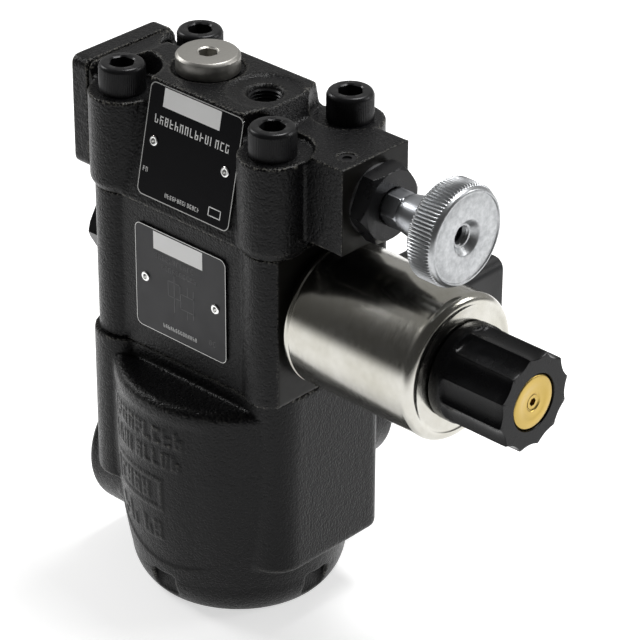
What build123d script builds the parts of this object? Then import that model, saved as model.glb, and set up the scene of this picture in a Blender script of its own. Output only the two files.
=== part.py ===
from build123d import *
import math
import os

# Pilot-operated pressure control valve with a proportional solenoid.
# Origin: centre of the flat underside. +X towards the solenoid and the knob,
# +Z up the main bore, the name plates on the -Y side. Millimetres.

# Stack of three castings on one vertical axis
MAIN_TOP = 90.6
PILOT_TOP = MAIN_TOP + 56.0
SEAT_Z = PILOT_TOP + 34.3
RIDGE_TOP = SEAT_Z + 9.2
BLOCK_TOP = SEAT_Z + 2.3
SOLENOID_Z = MAIN_TOP + 29.1
RELIEF_Z = PILOT_TOP + 21.2

# M10 x 110 clamping screws
PITCH_X = 69.7
PITCH_Y = 36.7
SCREW_R = 5.0
SCREW_LENGTH = 110.0
SCREW_HEAD_R = 8.0
SCREW_HEAD_H = 10.0
SCREW_SOCKET = 8.0
BOLTS = [(sx * PITCH_X / 2, sy * PITCH_Y / 2) for sx in (-1, 1) for sy in (-1, 1)]
POCKET_R = 13.5

# Castings
FACE_X = 43.1
MAIN_FRONT = -25.6
MAIN_BACK = 27.4
WING_BOTTOM = 21.0
BARREL_R = 43.0
LEDGE_Z = 85.0
RIM_R = 3.5
PILOT_FRONT = -26.2
PILOT_BACK = 30.5
PILOT_COLUMN_R = 10.2
HEAD_COLUMN_R = 11.8
HEAD_FRONT = PILOT_FRONT - 1.2
RIDGE_END = 23.0
FLANGE_X = -50.0
COVER_GRIP = 6.0
COVER_H = 40.8
COVER_Z = 166.2
BLOCK_X = 63.0
BLOCK_HALF_Y = 15.6

# Ports: thread core radii and depths
G1_R = 15.15
G1_DEPTH = 19.0
G14_R = 5.7
G14_DEPTH = 12.5
PORT_A_X = -50.5
PORT_A_Z = 32.0
PORT_B_Y = 53.5
PORT_B_Z = 48.5
DRAIN_X = 21.0
CHANNEL_R = 3.0
GAUGE_X = 13.8
GAUGE_SPOT = 0.8
PLUG_X = -12.6
PLUG_SEAT = RIDGE_TOP - 1.2

# Face seals between the castings: inner and outer radius, groove depth and room
LOWER_SEAL = (22.1, 24.3)
UPPER_SEAL = (4.6, 6.9)
UPPER_SEAL_X = -24.0
SEAL_DEPTH = 1.6
SEAL_ROOM = 0.1

# Fits
SNUG = 0.02
RUN = 0.04
GAP = 0.3

# Main stage
SLEEVE_R = 20.0
SLEEVE_BOTTOM = 40.0
SLEEVE_GROOVES = (62.0, 74.0)
FLANGE_R = 21.6
FLANGE_Z = MAIN_TOP - 6.0
SPOOL_R = 13.0
SPOOL_BOTTOM = 42.3
SPOOL_TOP = 70.0
SPOOL_WEB = 49.0
SPOOL_CUP = 52.0
SPOOL_CUP_R = 9.5

# Solenoid
SHELL_R = 25.65
SHELL_X0 = 45.9
SHELL_X1 = 101.5
TUBE_R = 11.0
TUBE_END = 118.0
ARMATURE_R = 7.5
ARMATURE_X = 58.0
CONE_BACK = 27.0
PIN_BORE_R = 1.6
PILOT_SEAT_R = 8.0
END_PLUG_R = 13.0
END_PLUG_FLANGE_R = 18.6
END_PLUG_X = -55.0
FLANGE_FACE_X = -45.1
NUT_X0 = SHELL_X1 + GAP
NUT_X1 = 132.0
NUT_R = 17.1
FLUTES = 12
FLUTE_R = 11.2
FLUTE_DEPTH = 1.3
FLUTE_TURN = 25.0
BRASS_R = 9.55
SOCKET_X = 68.3
SOCKET_HALF_X = 15.0
SOCKET_HALF_Z = 17.1
SOCKET_WALL = 3.0
WINDOW_HALF = 9.0

# Adjuster
HEX_X0 = 64.0
HEX_X1 = 70.5
SPINDLE_R = 6.0
COLLAR_R = 7.6
FLATS_LENGTH = 6.6
KNOB_X0 = 91.2
KNOB_X1 = 102.4
KNOB_R = 17.6

# Name plates
PLATE_W = 42.8
PLATE_H = 39.4
HEAD_PLATE_X = 1.6
PLATE_T = 0.8
HEAD_LEAN = 12.0

CENTRE = (Align.CENTER, Align.CENTER, Align.MIN)


def bar_z(radius, z0, z1, x=0.0, y=0.0):
    """Cylinder along Z."""
    return Pos(x, y, z0) * Cylinder(radius, z1 - z0, align=CENTRE)


def bar_x(radius, x0, x1, y=0.0, z=0.0):
    """Cylinder along X."""
    return Pos(x0, y, z) * Rot(0, 90, 0) * Cylinder(radius, x1 - x0, align=CENTRE)


def bar_y(radius, y0, y1, x=0.0, z=0.0):
    """Cylinder along Y."""
    return Pos(x, y0, z) * Rot(-90, 0, 0) * Cylinder(radius, y1 - y0, align=CENTRE)


def taper_x(r0, r1, x0, x1, z):
    """Cone along X."""
    return Pos(x0, 0, z) * Rot(0, 90, 0) * Cone(r0, r1, x1 - x0, align=CENTRE)


def taper_z(r0, r1, z0, z1, x=0.0, y=0.0):
    """Cone along Z."""
    return Pos(x, y, z0) * Cone(r0, r1, z1 - z0, align=CENTRE)


def block(x0, x1, y0, y1, z0, z1):
    """Box between two corners."""
    low = (Align.MIN, Align.MIN, Align.MIN)
    return Pos(x0, y0, z0) * Box(x1 - x0, y1 - y0, z1 - z0, align=low)


def plane_x(x, y, z):
    """Sketch plane at x that looks along +X, with its own x along +Y."""
    return Plane(origin=(x, y, z), x_dir=(0, 1, 0), z_dir=(1, 0, 0))


def hex_x(flats, x0, x1, z, turn=0.0):
    """Hexagonal bar along X."""
    outline = RegularPolygon(flats / 2, 6, major_radius=False, rotation=turn)
    return extrude(plane_x(x0, 0, z) * outline, amount=x1 - x0)


def hex_z(flats, z0, z1, x=0.0, y=0.0, turn=0.0):
    """Hexagonal bar along Z."""
    outline = RegularPolygon(flats / 2, 6, major_radius=False, rotation=turn)
    return extrude(Pos(x, y, z0) * outline, amount=z1 - z0)


def at_bolts(make):
    """One shape at each of the four clamping screws."""
    return [make(x, y) for x, y in BOLTS]


def spring(coil_r, wire_r, length, turns):
    """Helical compression spring standing on the XY plane."""
    pitch = (length - 2 * wire_r) / turns
    path = Pos(0, 0, wire_r) * Helix(pitch, length - 2 * wire_r, coil_r)
    start = Plane(origin=path @ 0, z_dir=path % 0)
    return sweep(start * Circle(wire_r), path=path)


def ring_z(r_in, r_out, z0, z1, x=0.0, y=0.0):
    """Flat ring along Z."""
    return bar_z(r_out, z0, z1, x, y) - bar_z(r_in, z0 - 1, z1 + 1, x, y)


def ring_x(r_in, r_out, x0, x1, z):
    """Flat ring along X."""
    return bar_x(r_out, x0, x1, 0, z) - bar_x(r_in, x0 - 1, x1 + 1, 0, z)


# ---------------------------------------------------------------- main stage

def barrel():
    """Round cup of the main casting, drafted and rounded into its foot."""
    foot = ThreePointArc((33.0, 0), (36.3, 4.6), (38.2, 11.5))
    side = ThreePointArc((38.2, 11.5), (41.2, 30.0), (BARREL_R, 62.0))
    base = Line((0, 0), (33.0, 0))
    rim = Line((BARREL_R, 62.0), (BARREL_R, LEDGE_Z - RIM_R))
    turn = RadiusArc((BARREL_R, LEDGE_Z - RIM_R), (BARREL_R - RIM_R, LEDGE_Z), -RIM_R)
    top = Polyline((BARREL_R - RIM_R, LEDGE_Z), (0, LEDGE_Z), (0, 0))
    profile = make_face(Plane.XZ * (base + foot + side + rim + turn + top))
    cup = revolve(profile, Axis.Z)
    notch = block(34.6, 50, -5.0, 5.0, 3.0, 12.5)
    for angle in (0, 90, 180, 270):
        cup -= Rot(0, 0, angle) * notch
    return cup


def wing():
    """Drafted block behind and beside the barrel."""
    depth = MAIN_BACK - MAIN_FRONT
    outline = Pos(0, (MAIN_BACK + MAIN_FRONT) / 2) * Rectangle(2 * FACE_X, depth)
    corners = outline.vertices().sort_by(Axis.Y)
    outline = fillet(corners[:2], 12.0)
    outline = fillet(outline.vertices().sort_by(Axis.Y)[-2:], 5.0)
    shape = extrude(Pos(0, 0, WING_BOTTOM) * outline, amount=MAIN_TOP - WING_BOTTOM)
    rim = shape.faces().sort_by(Axis.Z)[0].edges()
    return fillet(rim, 2.5)


def port_boss(radius, start, end):
    """Round boss along X with a soft outer edge."""
    boss = bar_x(radius, start, end)
    return fillet(boss.edges().sort_by(Axis.X)[-1], 2.0)


def main_body():
    """Main casting: barrel, wing, two G1 ports and the cartridge bore."""
    body = barrel() + wing()
    body += bar_z(12.0, 34, MAIN_TOP, *BOLTS[0])
    body += Pos(0, 0, PORT_A_Z) * Rot(0, 0, 180) * port_boss(25.5, 20, -PORT_A_X)
    body += Pos(0, 0, PORT_B_Z) * Rot(0, 0, 90) * port_boss(26.0, 15, PORT_B_Y)
    body -= bar_z(SLEEVE_R + SNUG, 36, MAIN_TOP)
    body -= bar_z(FLANGE_R + SNUG, FLANGE_Z, MAIN_TOP)
    body -= bar_z(18.5, 14, 36)
    body -= bar_z(24.5, 41, 56)
    inner_a = PORT_A_X + G1_DEPTH
    body -= bar_x(G1_R, PORT_A_X, inner_a, 0, PORT_A_Z)
    body -= bar_x(13.0, inner_a, -10, 0, PORT_A_Z)
    body -= bar_x(22.5, PORT_A_X, PORT_A_X + 1, 0, PORT_A_Z)
    inner_b = PORT_B_Y - G1_DEPTH
    body -= bar_y(G1_R, inner_b, PORT_B_Y, 0, PORT_B_Z)
    body -= bar_y(7.5, 20, inner_b, 0, PORT_B_Z)
    body -= bar_y(22.5, PORT_B_Y - 1, PORT_B_Y, 0, PORT_B_Z)
    for x, y in BOLTS:
        body -= bar_z(SCREW_R + SNUG, SEAT_Z - SCREW_LENGTH - 4, MAIN_TOP, x, y)
    inner, outer = LOWER_SEAL
    body -= ring_z(inner - SEAL_ROOM, outer + SEAL_ROOM, MAIN_TOP - SEAL_DEPTH, MAIN_TOP + 1)
    return body


def main_sleeve():
    """Flanged sleeve of the main cartridge with its ring of windows."""
    sleeve = bar_z(SLEEVE_R, SLEEVE_BOTTOM, MAIN_TOP - SNUG)
    sleeve += bar_z(FLANGE_R, FLANGE_Z, MAIN_TOP - SNUG)
    sleeve -= bar_z(SPOOL_R, SLEEVE_BOTTOM + 2, MAIN_TOP)
    sleeve -= bar_z(11.0, SLEEVE_BOTTOM - 1, MAIN_TOP)
    for step in range(8):
        sleeve -= Rot(0, 0, 45 * step) * bar_x(3.5, 5, 25, 0, PORT_B_Z)
    for z in SLEEVE_GROOVES:
        sleeve -= ring_z(SLEEVE_R - 2, SLEEVE_R + 2, z - 1.5, z + 1.5)
    return sleeve


def sleeve_seals():
    """O-rings round the sleeve."""
    return [ring_z(SLEEVE_R - 1.95, SLEEVE_R, z - 1.3, z + 1.3) for z in SLEEVE_GROOVES]


def main_spool():
    """Main spool: hollow foot with metering holes, and a cup for the spring."""
    spool = bar_z(SPOOL_R - RUN, SPOOL_BOTTOM, SPOOL_TOP)
    spool -= bar_z(8.0, SPOOL_BOTTOM - 1, SPOOL_WEB)
    spool -= bar_z(SPOOL_CUP_R, SPOOL_CUP, SPOOL_TOP)
    spool -= bar_z(2.5 + SNUG, SPOOL_WEB, SPOOL_CUP)
    for step in range(8):
        spool -= Rot(0, 0, 45 * step) * bar_x(2.2, 5, 15, 0, SPOOL_WEB - 3)
    for z in (60.0, 64.0, 68.0):
        spool -= ring_z(SPOOL_R - 0.6, SPOOL_R + 1, z - 0.4, z + 0.4)
    return spool


def spool_orifice():
    """Damping orifice screwed into the spool's web."""
    screw = bar_z(2.5, SPOOL_WEB, SPOOL_CUP)
    screw -= bar_z(0.5, SPOOL_WEB, SPOOL_CUP)
    return screw - hex_z(2.0, SPOOL_CUP - 1.2, SPOOL_CUP + 1)


def main_spring():
    """Spring between the spool and the pilot casting."""
    foot = SPOOL_CUP + 0.1
    return Pos(0, 0, foot) * spring(7.4, 1.1, MAIN_TOP - 0.1 - foot, 7)


def lower_interface_seals():
    """Face seal between the main and the pilot castings."""
    return ring_z(*LOWER_SEAL, MAIN_TOP - SEAL_DEPTH, MAIN_TOP)


# --------------------------------------------------------------- pilot stage

def pilot_body():
    """Middle casting: solenoid bore on +X, hex plug on -X, drain port behind."""
    depth = PILOT_BACK - PILOT_FRONT
    middle = (PILOT_BACK + PILOT_FRONT) / 2
    outline = Pos(0, middle) * Rectangle(2 * FACE_X, depth - 4)
    corners = outline.vertices().sort_by(Axis.Y)
    outline = fillet(corners[-2:], 4.0)
    body = extrude(Pos(0, 2, MAIN_TOP) * outline, amount=PILOT_TOP - MAIN_TOP)
    half = PITCH_X / 2
    body += block(-half, half, PILOT_FRONT, 0, MAIN_TOP, PILOT_TOP)
    for x, y in BOLTS:
        body += bar_z(PILOT_COLUMN_R, MAIN_TOP, PILOT_TOP, x, y)
    body &= block(-half - PILOT_COLUMN_R, FACE_X, -40, 40, MAIN_TOP, PILOT_TOP)
    corner = block(-60, 60, -60, BOLTS[0][1], MAIN_TOP - 1, PILOT_TOP + 1)
    keep = block(-half, half, -60, 0, MAIN_TOP - 1, PILOT_TOP + 1)
    for x, y in (BOLTS[0], BOLTS[2]):
        keep += bar_z(PILOT_COLUMN_R, MAIN_TOP - 1, PILOT_TOP + 1, x, y)
    body -= corner - keep
    for x, y in BOLTS:
        body -= bar_z(SCREW_R + 0.4, MAIN_TOP, PILOT_TOP, x, y)
    body -= bar_x(TUBE_R + 2, 30, FACE_X, 0, SOLENOID_Z)
    body -= bar_x(PILOT_SEAT_R + SNUG, 12, 30, 0, SOLENOID_Z)
    body -= bar_x(CHANNEL_R, -28, 12, 0, SOLENOID_Z)
    body -= bar_x(END_PLUG_R, -FACE_X - 3, -28, 0, SOLENOID_Z)
    body -= bar_x(19.5, -FACE_X - 3, -FACE_X, 0, SOLENOID_Z)
    body -= bar_z(CHANNEL_R, MAIN_TOP, SOLENOID_Z, 2, 0)
    body -= bar_z(CHANNEL_R, SOLENOID_Z, PILOT_TOP, UPPER_SEAL_X, 0)
    body -= bar_y(G14_R, PILOT_BACK - G14_DEPTH, PILOT_BACK, DRAIN_X, SOLENOID_Z)
    body -= bar_y(2.5, 0, PILOT_BACK - G14_DEPTH, DRAIN_X, SOLENOID_Z)
    body -= bar_y(11.5, PILOT_BACK - 0.6, PILOT_BACK, DRAIN_X, SOLENOID_Z)
    inner, outer = UPPER_SEAL
    groove = PILOT_TOP - SEAL_DEPTH
    body -= ring_z(inner - SEAL_ROOM, outer + SEAL_ROOM, groove, PILOT_TOP + 1, UPPER_SEAL_X, 0)
    return body


def upper_interface_seals():
    """Face seal between the pilot and the head castings."""
    return ring_z(*UPPER_SEAL, PILOT_TOP - SEAL_DEPTH, PILOT_TOP, UPPER_SEAL_X, 0)


def prop_seat():
    """Hard seat of the proportional pilot cone."""
    seat = bar_x(PILOT_SEAT_R, 12.5, 20, 0, SOLENOID_Z)
    return seat - bar_x(PIN_BORE_R, 12, 21, 0, SOLENOID_Z)


def prop_cone():
    """Pilot cone, drawn 2 mm off its seat."""
    cone = taper_x(0.6, 2.6, 20.4, 24.0, SOLENOID_Z)
    return cone + bar_x(4.0, 24.0, CONE_BACK, 0, SOLENOID_Z)


def push_pin():
    """Pin between the armature and the cone."""
    return bar_x(PIN_BORE_R - 0.1, CONE_BACK, ARMATURE_X, 0, SOLENOID_Z)


def armature():
    """Magnetic plunger with two oil channels."""
    end = ARMATURE_X + 34.0
    plunger = bar_x(ARMATURE_R - RUN, ARMATURE_X, end, 0, SOLENOID_Z)
    for side in (-1, 1):
        plunger -= bar_x(1.2, ARMATURE_X - 1, end + 1, 5 * side, SOLENOID_Z)
    return plunger


def pole_piece():
    """Fixed pole, screwed into the pilot casting."""
    pole = bar_x(TUBE_R + 2 - SNUG, 30, FACE_X, 0, SOLENOID_Z)
    pole += bar_x(ARMATURE_R, FACE_X, 55, 0, SOLENOID_Z)
    return pole - bar_x(PIN_BORE_R, 29, 56, 0, SOLENOID_Z)


def solenoid_tube():
    """Pressure tube that the armature slides in."""
    tube = bar_x(TUBE_R, FACE_X, TUBE_END, 0, SOLENOID_Z)
    return tube - bar_x(ARMATURE_R, FACE_X - 1, TUBE_END + 1, 0, SOLENOID_Z)


def tube_cap():
    """Brass cap of the tube, seen through the nut."""
    cap = bar_x(BRASS_R, TUBE_END, NUT_X1 - 0.2, 0, SOLENOID_Z)
    cap = chamfer(cap.edges().sort_by(Axis.X)[-1], 0.5)
    cap += bar_x(ARMATURE_R, 108, TUBE_END, 0, SOLENOID_Z)
    cap -= bar_x(2.5, 121, NUT_X1, 0, SOLENOID_Z)
    return cap - bar_x(1.0, 107, 122, 0, SOLENOID_Z)


def bleed_screw():
    """Air bleed screw in the middle of the cap."""
    screw = bar_x(2.5 - RUN, 124.4, NUT_X1 - 0.6, 0, SOLENOID_Z)
    return screw - hex_x(2.6, NUT_X1 - 3.4, NUT_X1, SOLENOID_Z)


def bleed_ball():
    """Sealing ball that the bleed screw holds down and lets rise."""
    return Pos(122.6, 0, SOLENOID_Z) * Sphere(1.4)


def coil_housing():
    """Zinc plated steel shell of the coil, its ends rolled in."""
    shell = bar_x(SHELL_R, SHELL_X0, SHELL_X1, 0, SOLENOID_Z)
    rims = shell.edges().filter_by(GeomType.CIRCLE)
    shell = fillet(rims.sort_by(Axis.X)[-1], 2.4)
    shell = chamfer(shell.edges().sort_by(Axis.X)[0], 0.6)
    shell -= bar_x(SHELL_R - 2, SHELL_X0 + 3, SHELL_X1 - 3, 0, SOLENOID_Z)
    shell -= bar_x(TUBE_R + 0.1, SHELL_X0 - 1, SHELL_X1 + 1, 0, SOLENOID_Z)
    half = WINDOW_HALF
    window = block(SOCKET_X - half, SOCKET_X + half, 0, 40, SOLENOID_Z - half, SOLENOID_Z + half)
    return shell - window


def coil_bobbin():
    """Plastic bobbin."""
    x0 = SHELL_X0 + 3.2
    x1 = SHELL_X1 - 3.2
    spool = bar_x(13, x0, x1, 0, SOLENOID_Z)
    spool += bar_x(22, x0, x0 + 2, 0, SOLENOID_Z)
    spool += bar_x(22, x1 - 2, x1, 0, SOLENOID_Z)
    return spool - bar_x(TUBE_R + 0.1, x0 - 1, x1 + 1, 0, SOLENOID_Z)


def coil_winding():
    """Copper winding."""
    return ring_x(13.1, 21.0, SHELL_X0 + 5.4, SHELL_X1 - 5.4, SOLENOID_Z)


def coil_base_ring():
    """Sealing ring between the coil and the pilot casting."""
    return ring_x(TUBE_R + 0.2, 20.0, FACE_X + GAP, SHELL_X0, SOLENOID_Z)


def connector_socket():
    """Electrical inlet on the coil: a shrouded well on a saddle."""
    z0 = SOLENOID_Z - SOCKET_HALF_Z
    z1 = SOLENOID_Z + SOCKET_HALF_Z
    tower = block(SOCKET_X - SOCKET_HALF_X, SOCKET_X + SOCKET_HALF_X, 14, 42, z0, z1)
    tower = fillet(tower.edges().filter_by(Axis.Y), 4.0)
    tower = fillet(tower.faces().sort_by(Axis.Y)[-1].edges(), 1.0)
    tower -= bar_x(SHELL_R + SNUG, SHELL_X0, SHELL_X1, 0, SOLENOID_Z)
    inside = SOCKET_HALF_X - SOCKET_WALL
    well = block(SOCKET_X - inside, SOCKET_X + inside, 29, 43, z0 + 3.1, z1 - 3.1)
    tower -= fillet(well.edges().filter_by(Axis.Y), 2.5)
    half = WINDOW_HALF - 0.1
    root = block(SOCKET_X - half, SOCKET_X + half, 22.5, 27, SOLENOID_Z - half, SOLENOID_Z + half)
    return tower + root


def connector_pins():
    """Two flat contacts and an earth contact in the well."""
    def pin(half_x, half_z, dz):
        z = SOLENOID_Z + dz
        return block(SOCKET_X - half_x, SOCKET_X + half_x, 29, 40, z - half_z, z + half_z)
    return [pin(0.4, 3.0, 0.0), pin(3.0, 0.4, -9.0), pin(3.0, 0.4, 9.0)]


def coil_nut():
    """Fluted plastic nut that holds the coil on its tube."""
    nut = bar_x(NUT_R, NUT_X0, NUT_X1, 0, SOLENOID_Z)
    nut = fillet(nut.edges().sort_by(Axis.X)[-1], 1.0)
    nut = fillet(nut.edges().sort_by(Axis.X)[0], 0.8)
    reach = NUT_R - FLUTE_DEPTH + FLUTE_R
    for step in range(FLUTES):
        angle = math.radians(360 / FLUTES * step + FLUTE_TURN)
        y = reach * math.cos(angle)
        z = SOLENOID_Z + reach * math.sin(angle)
        nut -= bar_x(FLUTE_R, NUT_X0 + 5.5, NUT_X1 + 1, y, z)
    nut -= bar_x(TUBE_R + 0.05, NUT_X0 - 1, TUBE_END + 3.3, 0, SOLENOID_Z)
    nut -= bar_x(BRASS_R + 0.3, TUBE_END, NUT_X1 + 1, 0, SOLENOID_Z)
    return nut - ring_x(12.5, 15.5, NUT_X0 - 1, NUT_X0 + 1.8, SOLENOID_Z)


def nut_seal():
    """Seal ring that follows the nut without turning."""
    return ring_x(12.8, 15.2, NUT_X0, NUT_X0 + 1.5, SOLENOID_Z)


def end_plug():
    """Hexagon plug that closes the pilot bore on -X."""
    head = FLANGE_FACE_X
    plug = bar_x(END_PLUG_R - SNUG, -40, -29, 0, SOLENOID_Z)
    plug += bar_x(9.0, head - 1, -38, 0, SOLENOID_Z)
    plug += hex_x(32, END_PLUG_X, head, SOLENOID_Z)
    cap = taper_x(17.0, END_PLUG_FLANGE_R, END_PLUG_X, END_PLUG_X + 1, SOLENOID_Z)
    cap += bar_x(END_PLUG_FLANGE_R, END_PLUG_X + 1, head, 0, SOLENOID_Z)
    plug &= bar_x(END_PLUG_R + 0.5, head, -20, 0, SOLENOID_Z) + cap
    return plug


def end_plug_seal():
    """Sealing washer under the hexagon plug."""
    return ring_x(9.1, 16.5, FLANGE_FACE_X, -FACE_X, SOLENOID_Z)


# --------------------------------------------------------------------- head

def head_profile():
    """Cross-section of the head between its columns, leaning in at the front."""
    lean = math.tan(math.radians(HEAD_LEAN)) * (RIDGE_TOP - PILOT_TOP)
    front = HEAD_FRONT
    back = -front - 1.6
    return [
        (front, PILOT_TOP),
        (back, PILOT_TOP),
        (back - lean, RIDGE_TOP),
        (front + lean, RIDGE_TOP),
    ]


def head_ridge():
    """Leaning centre of the head, from the cover flange to the ridge's end."""
    outline = Polyline(*head_profile(), close=True)
    face = make_face(plane_x(-PITCH_X / 2, 0, 0) * outline)
    ridge = extrude(face, amount=PITCH_X)
    slope = Polyline(
        (RIDGE_END, RIDGE_TOP + 1),
        (RIDGE_END, RIDGE_TOP),
        (RIDGE_END + 5.5, BLOCK_TOP),
        (60, BLOCK_TOP),
        (60, RIDGE_TOP + 1),
        close=True,
    )
    cutter = extrude(make_face(Plane.XZ * slope), amount=50, both=True)
    return ridge - cutter


def cover_outline(grow):
    """Rounded square of the cover plate and of its cast flange."""
    shape = RectangleRounded(40.8 + 2 * grow, COVER_H + 2 * grow, 3.4)
    return Pos(0, COVER_Z - RELIEF_Z) * shape


def head_body():
    """Head casting: four columns, ridge, adjuster block and cover flange."""
    head = head_ridge()
    for x, y in BOLTS:
        head += bar_z(HEAD_COLUMN_R, PILOT_TOP + 2.6, SEAT_Z, x, y)
        head += taper_z(PILOT_COLUMN_R + 0.1, HEAD_COLUMN_R, PILOT_TOP, PILOT_TOP + 2.6, x, y)
    head += block(-40, 43, -19, 19, PILOT_TOP, SEAT_Z)
    head += block(20, BLOCK_X, -BLOCK_HALF_Y, BLOCK_HALF_Y, PILOT_TOP + 5.6, BLOCK_TOP)
    flange = extrude(plane_x(FLANGE_X, 0, RELIEF_Z) * cover_outline(-0.4), amount=6)
    head += flange + block(FLANGE_X + 3, -30, -16, 16, PILOT_TOP + 1, SEAT_Z + 3)
    neck = Polyline(
        (FLANGE_X + 6, SEAT_Z),
        (FLANGE_X + 6, 186),
        (-36, RIDGE_TOP),
        (-30, RIDGE_TOP),
        (-30, SEAT_Z),
        close=True,
    )
    head += extrude(make_face(Plane.XZ * neck), amount=15, both=True)
    for x, y in BOLTS:
        head -= bar_z(POCKET_R, SEAT_Z, RIDGE_TOP + 5, x, y)
        head -= bar_z(SCREW_R + 0.4, PILOT_TOP, SEAT_Z, x, y)
    return head - head_bores()


def head_bores():
    """Everything drilled or turned out of the head."""
    z = RELIEF_Z
    cut = bar_x(10 + SNUG, 39, BLOCK_X, 0, z)
    cut += bar_x(8.0, -12, 39, 0, z)
    cut += bar_x(6 + SNUG, -20, -12, 0, z)
    cut += bar_x(9.0, FLANGE_X, -20, 0, z)
    cut += bar_z(3, PILOT_TOP, z, -24, 0)
    cut += bar_z(G14_R, RIDGE_TOP - G14_DEPTH, RIDGE_TOP, GAUGE_X)
    mouth = RIDGE_TOP - GAUGE_SPOT
    cut += taper_z(G14_R, 7.0, mouth - 1.3, mouth, GAUGE_X)
    cut += bar_z(12.6, mouth, RIDGE_TOP + 1, GAUGE_X)
    cut += bar_z(6.5 + SNUG, RIDGE_TOP - G14_DEPTH, RIDGE_TOP, PLUG_X)
    cut += bar_z(12.4, PLUG_SEAT - 0.4, RIDGE_TOP + 1, PLUG_X)
    cut += bar_z(3.0 + SNUG, BLOCK_TOP - 4, BLOCK_TOP, 57, -7)
    cut += ring_x(11.0, 13.5, FLANGE_X - 1, FLANGE_X + 1.6, z)
    for y, dz in cover_screw_places():
        cut += bar_x(2.5 + SNUG, FLANGE_X, FLANGE_X + COVER_GRIP + 0.2, y, z + dz)
    return cut


def cover_screw_places():
    """Y and Z offsets of the four cover screws."""
    rise = COVER_Z - RELIEF_Z
    return [(sy * 14.5, rise + sz * 14.0) for sy in (-1, 1) for sz in (-1, 1)]


def cover_plate():
    """Plate that closes the relief bore on -X."""
    plate = extrude(plane_x(FLANGE_X - 8.0, 0, RELIEF_Z) * cover_outline(0), amount=7.9)
    plate = fillet(plate.faces().sort_by(Axis.X)[0].edges(), 0.8)
    for y, dz in cover_screw_places():
        plate -= bar_x(2.8, FLANGE_X - 9, FLANGE_X, y, RELIEF_Z + dz)
        plate -= bar_x(4.7, FLANGE_X - 9, FLANGE_X - 2.8, y, RELIEF_Z + dz)
    return plate


def cover_screws():
    """Four M5 socket head screws."""
    screws = []
    for y, dz in cover_screw_places():
        z = RELIEF_Z + dz
        screw = bar_x(2.5, FLANGE_X - 3, FLANGE_X + COVER_GRIP, y, z)
        screw += bar_x(4.25, FLANGE_X - 7.7, FLANGE_X - 2.8, y, z)
        socket = RegularPolygon(2.0, 6, major_radius=False)
        screw -= extrude(plane_x(FLANGE_X - 8, y, z) * socket, amount=3)
        screws.append(screw)
    return screws


def cover_seal():
    """Face seal under the cover plate."""
    return ring_x(11.1, 13.4, FLANGE_X - 0.1, FLANGE_X + 1.6, RELIEF_Z)


def relief_seat():
    """Seat of the mechanical relief pilot."""
    seat = bar_x(6, -20, -12.2, 0, RELIEF_Z)
    return seat - bar_x(1.5, -21, -12, 0, RELIEF_Z)


def relief_cone():
    """Cone and spring guide of the relief pilot."""
    cone = taper_x(0.8, 3.0, -11.9, -8.0, RELIEF_Z)
    cone += bar_x(6.5, -8.0, -6.0, 0, RELIEF_Z)
    return cone + bar_x(3.5, -6.0, 0.0, 0, RELIEF_Z)


def relief_spring():
    """Spring between the relief cone and its adjustable plate."""
    return Pos(-5.9, 0, RELIEF_Z) * Rot(0, 90, 0) * spring(5.2, 1.1, 35.8, 8)


def spring_plate():
    """Plate that carries the spring's far end."""
    return bar_x(7.6, 30.0, 33.7, 0, RELIEF_Z)


def adjuster_housing():
    """Black hexagon bush screwed into the block."""
    bush = bar_x(10, 40, HEX_X0, 0, RELIEF_Z)
    nut = hex_x(24, HEX_X0, HEX_X1, RELIEF_Z, 4)
    cone = taper_x(13.9, 11.9, HEX_X1 - 1.4, HEX_X1, RELIEF_Z)
    nut &= cone + bar_x(14, HEX_X0, HEX_X1 - 1.4, 0, RELIEF_Z)
    return bush + nut - bar_x(SPINDLE_R + RUN, 39, HEX_X1 + 1, 0, RELIEF_Z)


def adjuster_seal():
    """Sealing washer under the hexagon bush."""
    return ring_x(10.1, 12.2, BLOCK_X, HEX_X0, RELIEF_Z)


def adjust_spindle():
    """Spindle with wrench flats outside the bush and a tapped end."""
    spindle = bar_x(SPINDLE_R, 34.0, KNOB_X0, 0, RELIEF_Z)
    flats_end = HEX_X1 + FLATS_LENGTH
    spindle += hex_x(11.4, HEX_X1 + GAP, flats_end, RELIEF_Z)
    spindle += taper_x(SPINDLE_R + 0.4, COLLAR_R, flats_end, flats_end + 6, RELIEF_Z)
    spindle += bar_x(COLLAR_R, flats_end + 6, KNOB_X0, 0, RELIEF_Z)
    spindle += bar_x(5.0, KNOB_X0, KNOB_X0 + 6, 0, RELIEF_Z)
    spindle -= ring_x(4.8, 7, 58, 60.4, RELIEF_Z)
    return spindle - bar_x(3.4, KNOB_X0 - 6, KNOB_X1, 0, RELIEF_Z)


def spindle_seal():
    """O-ring of the spindle."""
    return ring_x(4.85, SPINDLE_R, 58.2, 60.2, RELIEF_Z)


def adjust_knob():
    """Knurled knob with a raised rim, a groove and a tapped centre."""
    knob = bar_x(KNOB_R, KNOB_X0, KNOB_X1, 0, RELIEF_Z)
    knob = chamfer(knob.edges().filter_by(GeomType.CIRCLE), 0.7)
    knob -= ring_x(14.6, 15.6, KNOB_X1 - 0.5, KNOB_X1 + 1, RELIEF_Z)
    knob -= bar_x(14.6, KNOB_X1 - 0.3, KNOB_X1 + 1, 0, RELIEF_Z)
    knob -= bar_x(5.0 + SNUG, KNOB_X0 - 1, KNOB_X0 + 6, 0, RELIEF_Z)
    knob -= taper_x(3.4, 6.2, KNOB_X1 - 2.3, KNOB_X1 - 0.3, RELIEF_Z)
    return knob - bar_x(3.4, KNOB_X0, KNOB_X1 + 1, 0, RELIEF_Z)


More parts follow.
